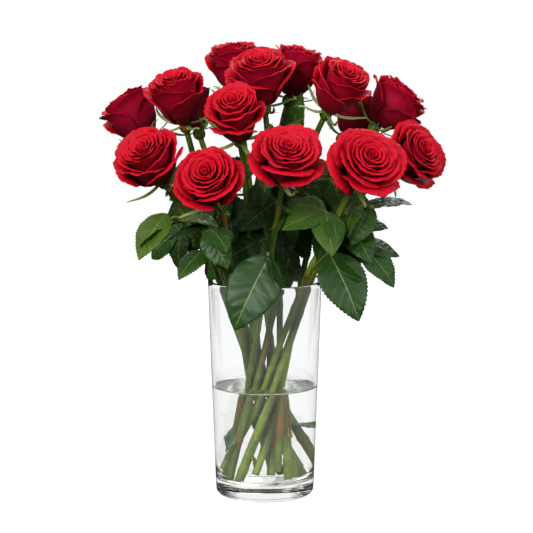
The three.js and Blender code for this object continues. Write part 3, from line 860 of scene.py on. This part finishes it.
def vasePieces(glass, water):
    form = vaseForm
    low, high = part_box("vase")
    height, rim = high.z - low.z, (high.x - low.x) / 2
    lip = form["wall"] / 2
    floorEdge = innerWall(form["floor"], rim, height) - form["innerFillet"]
    outside = [(form["footRadius"] * share, form["punt"] * (1 - (share / 0.84) ** 2) ** 2)
               for share in np.linspace(0.005, 0.84, 16)]
    outside += bow(form["footRadius"] - form["footFillet"], form["footFillet"], form["footFillet"], -90, 5, 8)
    for share in np.linspace(0.06, 0.97, 30):
        z = height * share
        outside.append((innerWall(z, rim, height) + form["wall"], z))
    inside = [(innerWall(height * share, rim, height), height * share)
              for share in np.linspace(0.97, 0.16, 30)]
    inside += bow(floorEdge, form["floor"] + form["innerFillet"], form["innerFillet"], 0, -90, 8)
    crown = [(floorEdge * share, form["floor"] + 0.6 * mm * (1 - share ** 2) ** 2)
             for share in np.linspace(0.95, 0.005, 12)]
    inside += crown
    outline = outside + bow(rim - lip, height - lip, lip, 0, 180, 10) + inside
    vase = buildPiece("glassVase", [{"points": lathe(outline), "ring": True}], [glass])
    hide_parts("vase")

    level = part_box("water")[1].z
    seal = form["seal"]
    outline = [(r, z - seal) for r, z in reversed(crown)]
    outline += bow(floorEdge, form["floor"] + form["innerFillet"], form["innerFillet"] + seal, -90, 0, 8)
    climb = form["meniscus"]
    top = level + climb * 0.6
    heights = [*np.linspace(0.022, level - 1 * mm, 14), *(top - np.array([0.9, 0.5, 0.2, 0.05, 0]) * mm)]
    outline += [(innerWall(z, rim, height) + seal, z) for z in heights]
    wall, still = innerWall(level, rim, height), level - climb * 0.4
    for away in np.array([0.03, 0.1, 0.3, 0.6, 1, 1.5, 2, 2.7, 3.5, 4.5, 6]) * mm:
        # the surface falls away from the wall
        outline.append((wall - away, still + climb * math.exp(-away / (1.3 * mm))))
    outline += [(wall * share, still) for share in (0.7, 0.4, 0.005)]
    pool = buildPiece("vaseWater", [{"points": lathe(outline), "ring": True}], [water])
    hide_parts("water")


petals = [velvetPetal("velvetPetalFace", petalFinish["faceFootShade"], petalFinish["faceLip"], 0.08),
          velvetPetal("velvetPetalBack", petalFinish["backFootShade"], petalFinish["backLip"], 0.17)]
stemBark = greenBark("greenStemBark", (barkFinish["fresh"], barkFinish["shade"], barkFinish["woody"]))
stalkSkin = greenBark("leafStalkSkin", ("#7c9440", "#6a7c34", "#70402c"))
sepalSkin = greenBark("sepalSkin", ("#4c6a2a", "#7d963f", "#9ba25a"))
leafSides = [waxyLeaf("waxyLeafTop", True), waxyLeaf("mattLeafUnderside", False), stalkSkin]

stemLines = {}
for number in range(1, 16):
    seat = bloomSeat(number)
    bloomPiece(number, seat, petals)
    calyxPiece(number, seat, [sepalSkin, sepalSkin, stemBark])
    stemLines[number] = stemLine(number, seat, calyxForm["length"])
    stemPiece(number, stemLines[number], stemBark)
print("blooms, calyxes and stems made")
for number in range(1, 14):
    leafPiece(number, leafSides)
for number, plan in enumerate(innerLeaves, 14):
    innerLeafPiece(number, stemLines[plan[0]], plan, leafSides)
for number, plan in enumerate(drownedLeaves, 1):
    drownedLeafPiece(number, stemLines[plan[0]], plan, leafSides)
print("leaves made")
vasePieces(sodaLimeGlass(), freshWater(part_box("water")[1].z))
print("vase and water made")


studio = {
    "floorReach": 1.6,  # m from the vase to each edge
    "underlight": 0.78,
    "flagEnds": (0.35, 1.3),  # m behind the vase
    "skyTop": 1.0, "skyLow": 0.05, "seenWhite": 1.0,
}


def studioFloor():
    reach = studio["floorReach"]
    mesh = bpy.data.meshes.new("studioFloor")
    mesh.from_pydata([(-reach, -reach, 0), (reach, -reach, 0), (reach, reach, 0), (-reach, reach, 0)],
                     [], [(0, 1, 2, 3)])
    floor = bpy.data.objects.new("studioFloor", mesh)
    bpy.context.scene.collection.objects.link(floor)
    # a light table topped with matt opal plastic, which stays white under the vase
    material, tree, shader = startMaterial("opalPlastic", {
        "Base Color": "#8a8a89", "Roughness": 0.9, "Specular IOR Level": 0.1,
        "Emission Strength": studio["underlight"],
    })
    body = addNode(tree, "ShaderNodeTexCoord")
    tooth = addNode(tree, "ShaderNodeTexNoise", {"Scale": 900.0, "Detail": 2.0},
                    {"Vector": body.outputs["Object"]})
    tone = addNode(tree, "ShaderNodeValToRGB", {"stops": [(0.3, 0.98), (0.7, 1.0)]},
                   {"Fac": tooth.outputs["Fac"]})
    tree.links.new(tone.outputs[0], shader.inputs["Emission Color"])
    mesh.materials.append(material)
    floor.visible_diffuse = False  # throws no light up under the blooms
    floor.visible_glossy = False  # and leaves the glass its darker lines


def studioFlag(x):
    # a dark card out of view at each side, which draws the dark lines at the edges of the glass
    near, far = studio["flagEnds"]
    low, high = 0.002, 0.8
    mesh = bpy.data.meshes.new("studioFlag")
    mesh.from_pydata([(x, near, low), (x, far, low), (x, far, high), (x, near, high)], [], [(0, 1, 2, 3)])
    flag = bpy.data.objects.new("studioFlag", mesh)
    bpy.context.scene.collection.objects.link(flag)
    material, tree, shader = startMaterial("blackCard", {"Roughness": 0.9, "Base Color": "#1a1a1a"})
    # it thins out towards its far end, so that the glass shows no hard edge of it
    body = addNode(tree, "ShaderNodeTexCoord")
    axes = addNode(tree, "ShaderNodeSeparateXYZ", links={"Vector": body.outputs["Object"]})
    fade = addNode(tree, "ShaderNodeMapRange", {"From Min": far, "From Max": 0.6},
                   {"Value": axes.outputs["Y"]})
    tree.links.new(fade.outputs[0], shader.inputs["Alpha"])
    mesh.materials.append(material)
    flag.visible_camera = False
    flag.visible_diffuse = False
    flag.visible_shadow = False


def studioWorld():
    world = bpy.data.worlds.new("studioWorld")
    bpy.context.scene.world = world
    world.use_nodes = True
    tree = world.node_tree
    tree.nodes.clear()
    path = addNode(tree, "ShaderNodeLightPath")
    seen = addNode(tree, "ShaderNodeMath", {"operation": "MAXIMUM"},
                   {0: path.outputs["Is Camera Ray"], 1: path.outputs["Is Transmission Ray"]})
    # light falls from a wide ceiling, and little comes up from below
    place = addNode(tree, "ShaderNodeTexCoord")
    axes = addNode(tree, "ShaderNodeSeparateXYZ", links={"Vector": place.outputs["Generated"]})
    ceiling = addNode(tree, "ShaderNodeMapRange",
                      {"interpolation_type": "SMOOTHSTEP", "From Min": -0.1, "From Max": 0.8,
                       "To Min": studio["skyLow"], "To Max": studio["skyTop"]}, {"Value": axes.outputs["Z"]})
    strength = addNode(tree, "ShaderNodeMix", {3: studio["seenWhite"]},
                       {0: seen.outputs[0], 2: ceiling.outputs[0]})
    sky = addNode(tree, "ShaderNodeBackground", {"Color": "#ffffff"}, {"Strength": strength.outputs[0]})
    addNode(tree, "ShaderNodeOutputWorld", links={"Surface": sky.outputs[0]})


def studioLamp(name, kind, place, energy, size, aim=(0, 0, 0.25)):
    lamp = bpy.data.lights.new(name, kind)
    lamp.energy = energy
    if kind == "SUN":
        lamp.angle = math.radians(size)
    else:
        lamp.shape = "DISK"
        lamp.size = size
    holder = bpy.data.objects.new(name, lamp)
    bpy.context.scene.collection.objects.link(holder)
    holder.location = place
    holder.rotation_euler = (Vector(aim) - Vector(place)).to_track_quat("-Z", "Y").to_euler()


view = {
    "distance": 2.5,  # m, from a point on the vase's axis halfway up the bouquet
    "aim": (0.0015, 0.0, 0.203),
    "pitch": 9.4,  # degrees down
    "lens": 192.5,
}


def studioCamera():
    camera = bpy.data.objects.new("studioCamera", bpy.data.cameras.new("studioCamera"))
    bpy.context.scene.collection.objects.link(camera)
    pitch = math.radians(view["pitch"])
    aim = Vector(view["aim"])
    camera.location = aim + Vector((0, -math.cos(pitch), math.sin(pitch))) * view["distance"]
    camera.rotation_euler = (math.pi / 2 - pitch, 0, 0)
    camera.data.sensor_width = 36
    camera.data.lens = view["lens"]
    camera.data.clip_start = 0.1
    camera.data.clip_end = 50
    bpy.context.scene.camera = camera


studioFloor()
studioFlag(-0.55)
studioFlag(0.55)
studioWorld()
# the energy and then the size, which is the angle in degrees for the sun and metres for a box
studioLamp("overheadSun", "SUN", (-0.5, -0.8, 1.6), 0.6, 60)
studioLamp("keyBox", "AREA", (-0.8, -1.4, 1.1), 21, 0.8)
studioLamp("fillBox", "AREA", (1.2, -1.3, 0.8), 10, 0.8)
studioLamp("rearBox", "AREA", (0.5, 1.5, 1.3), 8, 0.9)
studioCamera()
bpy.context.scene.view_settings.view_transform = "Standard"
bpy.context.scene.view_settings.look = "None"
print("studio set")
